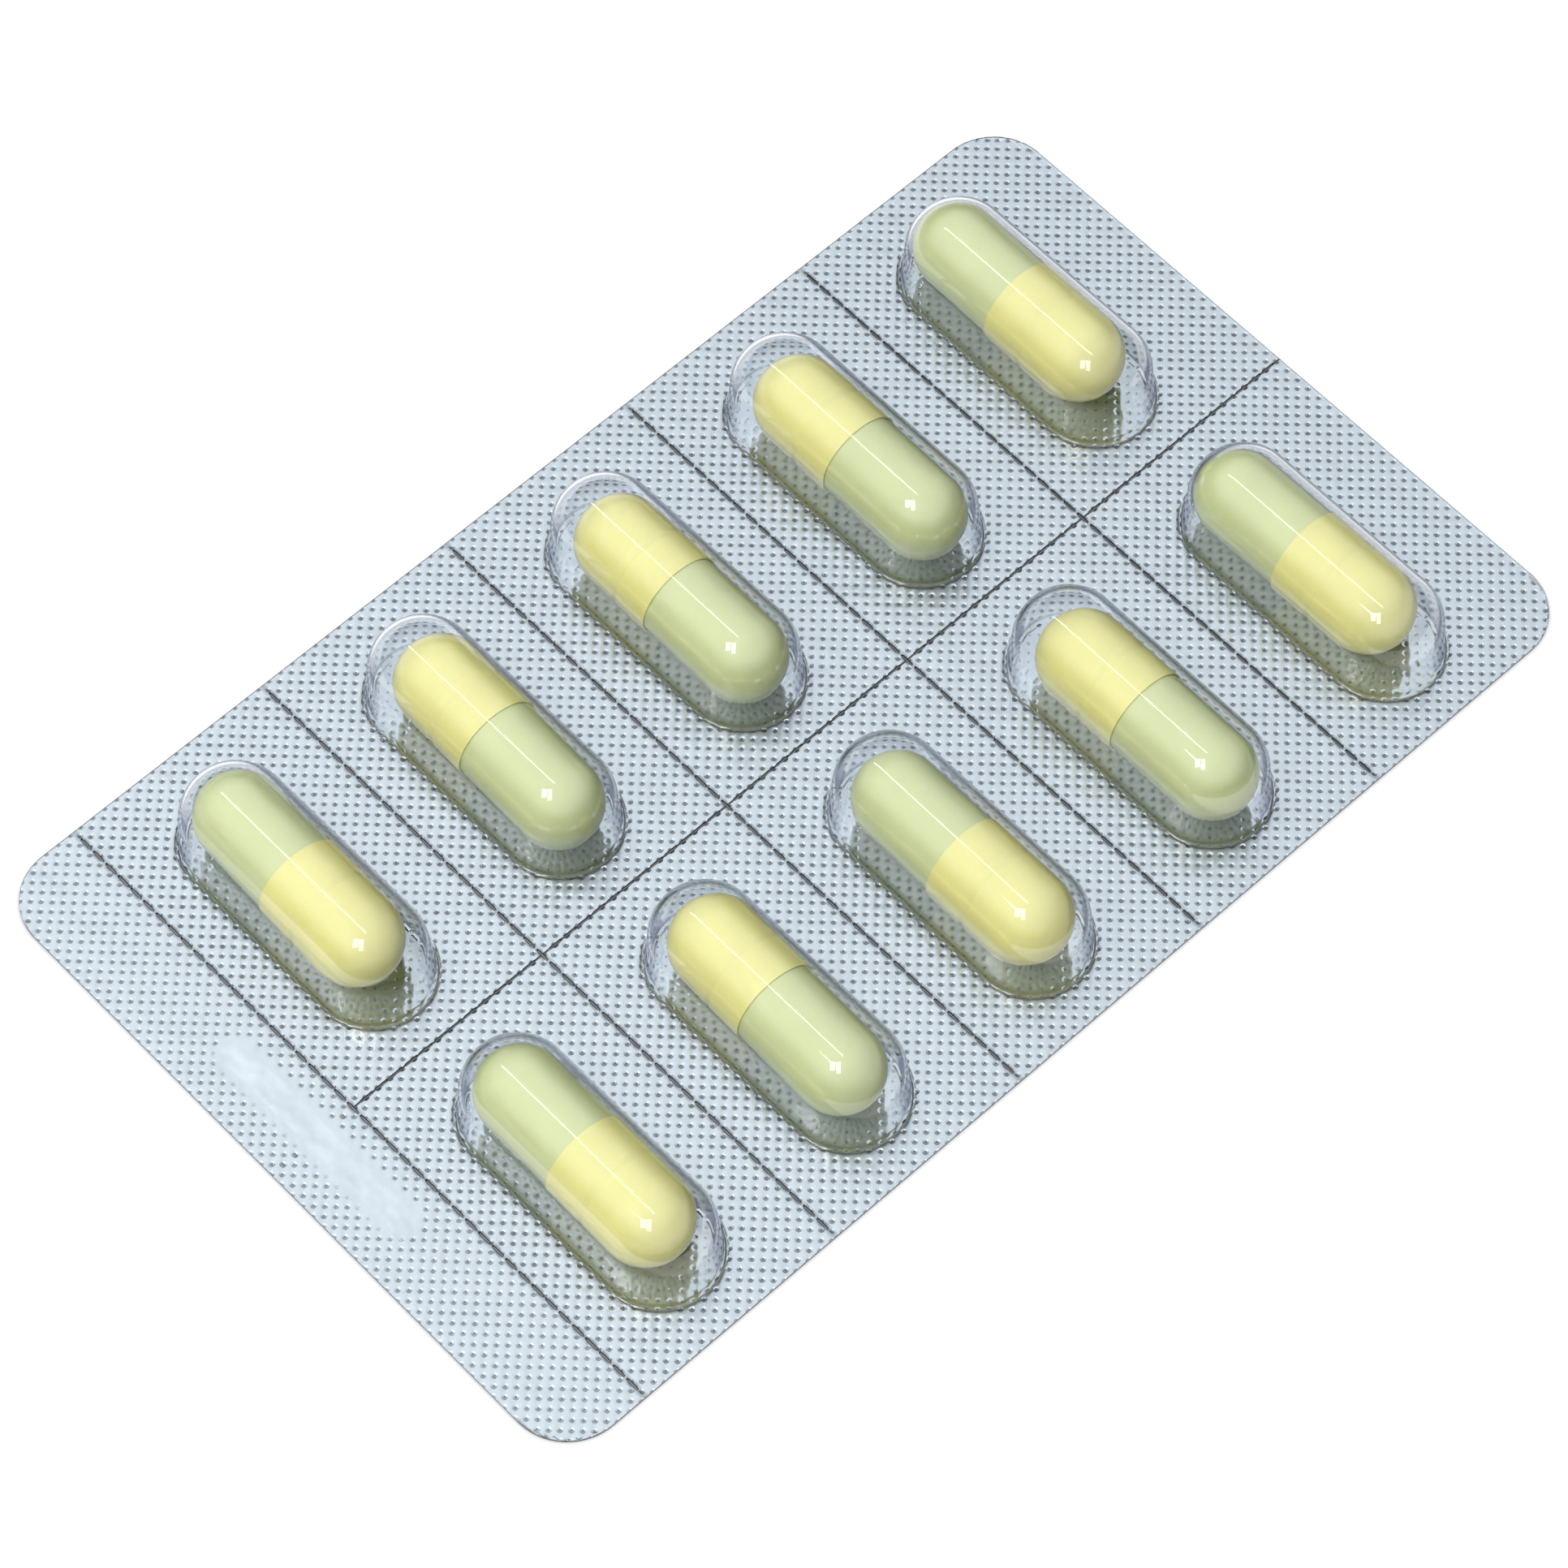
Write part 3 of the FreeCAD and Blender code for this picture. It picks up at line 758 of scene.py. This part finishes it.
class BLISTER_OT_film(bpy.types.Operator):
    """Form the clear film over the foil"""
    bl_idname = "blister.film"
    bl_label = "Film"

    def execute(self, context):
        scene = context.scene
        points, faces, kinds = formed_film(scene.blister_plan, scene.blister_pocket)
        colours = scene.blister_colours
        piece = make_piece("formed_clear_film", points, faces,
                           [clear_film_material(colours), cut_painted_shade_material(colours)], kinds)
        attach(piece, "root")
        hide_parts("formed_film")
        return {"FINISHED"}


def dress(node, material):
    """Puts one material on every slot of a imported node."""
    if not node.data.materials:
        node.data.materials.append(material)
    for place in node.material_slots:
        place.material = material


class BLISTER_OT_capsules(bpy.types.Operator):
    """Give caps, bodies and powder their finish"""
    bl_idname = "blister.capsules"
    bl_label = "Capsules"

    def execute(self, context):
        colours = context.scene.blister_colours
        looks = {
            "capsule_cap": gelatin_material("yellow_hard_gelatin", colours.cap,
                                            colours.cap_clear),
            "capsule_body": gelatin_material("green_hard_gelatin", colours.body,
                                             colours.body_clear),
            "capsule_fill": powder_material(colours),
        }
        for name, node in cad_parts.items():
            for start, material in looks.items():
                if name.startswith(start):
                    dress(node, material)
        return {"FINISHED"}


def area_lamp(name, watts, width, height, direction, long_axis, distance):
    """A soft rectangular lamp at a distance along a direction from the origin, facing it. Rays
    that have passed the film don't see it, because its light already passes straight through."""
    data = bpy.data.lights.new(name, "AREA")
    data.shape, data.size, data.size_y, data.energy = "RECTANGLE", width, height, watts
    lamp = bpy.data.objects.new(name, data)
    bpy.context.scene.collection.objects.link(lamp)
    lamp.visible_transmission = False
    back = Vector(direction).normalized()
    side = Vector(long_axis)
    side = (side - side.dot(back) * back).normalized()
    turn = Matrix((side, back.cross(side), back)).transposed().to_4x4()
    lamp.matrix_world = Matrix.Translation(back * distance) @ turn
    return lamp


def camera_axes(studio):
    """The camera's right, up and back directions before its roll."""
    a, e = studio.azimuth, studio.elevation
    back = Vector((math.sin(a) * math.cos(e), -math.cos(a) * math.cos(e), math.sin(e)))
    side = Vector((math.cos(a), math.sin(a), 0))
    return side, back.cross(side), back


class BLISTER_OT_stage(bpy.types.Operator):
    """Set up floor, sky, lamps and camera"""
    bl_idname = "blister.stage"
    bl_label = "Stage"

    def execute(self, context):
        scene = context.scene
        studio, colours = scene.blister_studio, scene.blister_colours
        self.lay_floor(studio, colours)
        self.hang_sky(studio, colours)
        self.hang_lamps(studio)
        self.set_camera(scene, studio)
        scene.view_settings.view_transform = "Standard"
        return {"FINISHED"}

    def hang_lamps(self, studio):
        """A strip for the long thin highlights, a window in two parts for the round ones, and a
        low side lamp that only lifts the shaded sides, so no gloss shows it."""
        across, up = (0, 1, 0), camera_axes(studio)[1]
        window = studio.window_power / 2
        # Name, power, width, height, direction from the pack, long axis, shown by gloss
        lamps = (
            ("strip_lamp", studio.strip_power, 0.4, 0.035, (-0.08, 0.375, 0.92), across, True),
            ("window_lamp_upper", window, 0.22, 0.14, (-0.545, 0.17, 0.88), up, True),
            ("window_lamp_lower", window, 0.3, 0.12, (-0.427, -0.015, 0.845), up, True),
            ("side_lamp", studio.side_power, 0.5, 0.5, (-0.75, -0.45, 0.45), across, False),
        )
        for *lamp, shown in lamps:
            area_lamp(*lamp, studio.lamp_distance).visible_glossy = shown

    def lay_floor(self, studio, colours):
        """A matt white table, which shows as pure white and keeps the pack's shadow."""
        material, tree, output = new_material("matt_white_table")
        plain = add_node(tree, "ShaderNodeBsdfDiffuse", {"Color": tuple(colours.table)})
        lit = add_node(tree, "ShaderNodeBsdfDiffuse", {"Color": tuple(colours.table_shade)})
        glow = add_node(tree, "ShaderNodeEmission", {"Color": tuple(colours.table_glow)})
        bright = add_node(tree, "ShaderNodeAddShader", {0: lit.outputs[0], 1: glow.outputs[0]})
        # The glow fades where the pack covers the table, a painted contact shade, so that the
        # slots stay dark
        open_sky = add_node(tree, "ShaderNodeAmbientOcclusion", {"Distance": studio.glow_fade},
                            samples=4)
        strength = math_node(tree, "MULTIPLY", open_sky.outputs["AO"], studio.glow_strength)
        tree.links.new(strength, glow.inputs["Strength"])
        path = add_node(tree, "ShaderNodeLightPath")
        seen = math_node(tree, "MAXIMUM", path.outputs["Is Camera Ray"],
                         path.outputs["Is Glossy Ray"])
        seen = math_node(tree, "MAXIMUM", seen, path.outputs["Is Transmission Ray"])
        mixed = add_node(tree, "ShaderNodeMixShader", {
            0: seen, 1: plain.outputs[0], 2: bright.outputs[0]})
        tree.links.new(mixed.outputs[0], output.inputs["Surface"])
        reach, z = studio.table_reach, -studio.table_drop
        corners = [(-reach, -reach, z), (reach, -reach, z), (reach, reach, z), (-reach, reach, z)]
        mesh = bpy.data.meshes.new("floor")
        mesh.from_pydata(corners, [], [(0, 1, 2, 3)])
        mesh.materials.append(material)
        floor = bpy.data.objects.new("floor", mesh)
        bpy.context.scene.collection.objects.link(floor)

    def hang_sky(self, studio, colours):
        """Soft light overhead that falls off to dark sides, so that clear edges show."""
        world = bpy.data.worlds.new("studio")
        bpy.context.scene.world = world
        world.use_nodes = True
        world.cycles.sampling_method = "NONE"
        tree = world.node_tree
        tree.nodes.clear()
        place = add_node(tree, "ShaderNodeTexCoord")
        parts = add_node(tree, "ShaderNodeSeparateXYZ", {0: place.outputs["Generated"]})
        height = add_node(tree, "ShaderNodeMapRange", {
            "Value": parts.outputs["Z"], "From Min": studio.sky_dark_below,
            "From Max": studio.sky_pale_above}, interpolation_type="SMOOTHSTEP")
        shade = add_node(tree, "ShaderNodeMix", {
            "A": tuple(colours.sky_low), "B": tuple(colours.sky_high)}, data_type="RGBA")
        tree.links.new(height.outputs[0], shade.inputs[0])
        sky = add_node(tree, "ShaderNodeBackground", {
            "Color": shade.outputs["Result"], "Strength": studio.sky_strength})
        add_node(tree, "ShaderNodeOutputWorld", {0: sky.outputs[0]})

    def set_camera(self, scene, studio):
        """The scene's camera, turned to the point that it looks at and rolled about its view."""
        side, up, back = camera_axes(studio)
        turn = Matrix((side, up, back)).transposed() @ Matrix.Rotation(studio.roll, 3, "Z")
        middle = Vector((studio.looks_at_x, studio.looks_at_y, FILM_LOW.z))
        data = bpy.data.cameras.new("camera")
        data.lens, data.sensor_width = studio.focal_length, studio.sensor_width
        data.clip_start, data.clip_end = studio.nearest, studio.farthest
        camera = bpy.data.objects.new("camera", data)
        scene.collection.objects.link(camera)
        camera.matrix_world = Matrix.Translation(middle + back * studio.distance) @ turn.to_4x4()
        scene.camera = camera


class BLISTER_PT_panel(bpy.types.Panel):
    """Sizes, finishes and steps of the blister pack"""
    bl_idname = "BLISTER_PT_panel"
    bl_label = "Blister pack"
    bl_space_type = "VIEW_3D"
    bl_region_type = "UI"
    bl_category = "Blister pack"

    def draw(self, context):
        for group, kind in GROUPS.items():
            box = self.layout.box()
            for name in kind.__annotations__:
                box.prop(getattr(context.scene, group), name)
        for step in STEPS:
            self.layout.operator(step.bl_idname)


GROUPS = {
    "blister_plan": BlisterPlan,
    "blister_pocket": BlisterPocket,
    "blister_knurl": BlisterKnurl,
    "blister_colours": BlisterColours,
    "blister_studio": BlisterStudio,
}
STEPS = (BLISTER_OT_foil, BLISTER_OT_film, BLISTER_OT_capsules, BLISTER_OT_stage)


def register():
    for kind in (*GROUPS.values(), *STEPS, BLISTER_PT_panel):
        bpy.utils.register_class(kind)
    for name, kind in GROUPS.items():
        setattr(bpy.types.Scene, name, PointerProperty(type=kind))


def unregister():
    for name in GROUPS:
        delattr(bpy.types.Scene, name)
    for kind in reversed((*GROUPS.values(), *STEPS, BLISTER_PT_panel)):
        bpy.utils.unregister_class(kind)


def main():
    register()
    bpy.ops.blister.foil()
    bpy.ops.blister.film()
    bpy.ops.blister.capsules()
    bpy.ops.blister.stage()
    bpy.context.view_layer.update()


if __name__ == "__main__":
    main()
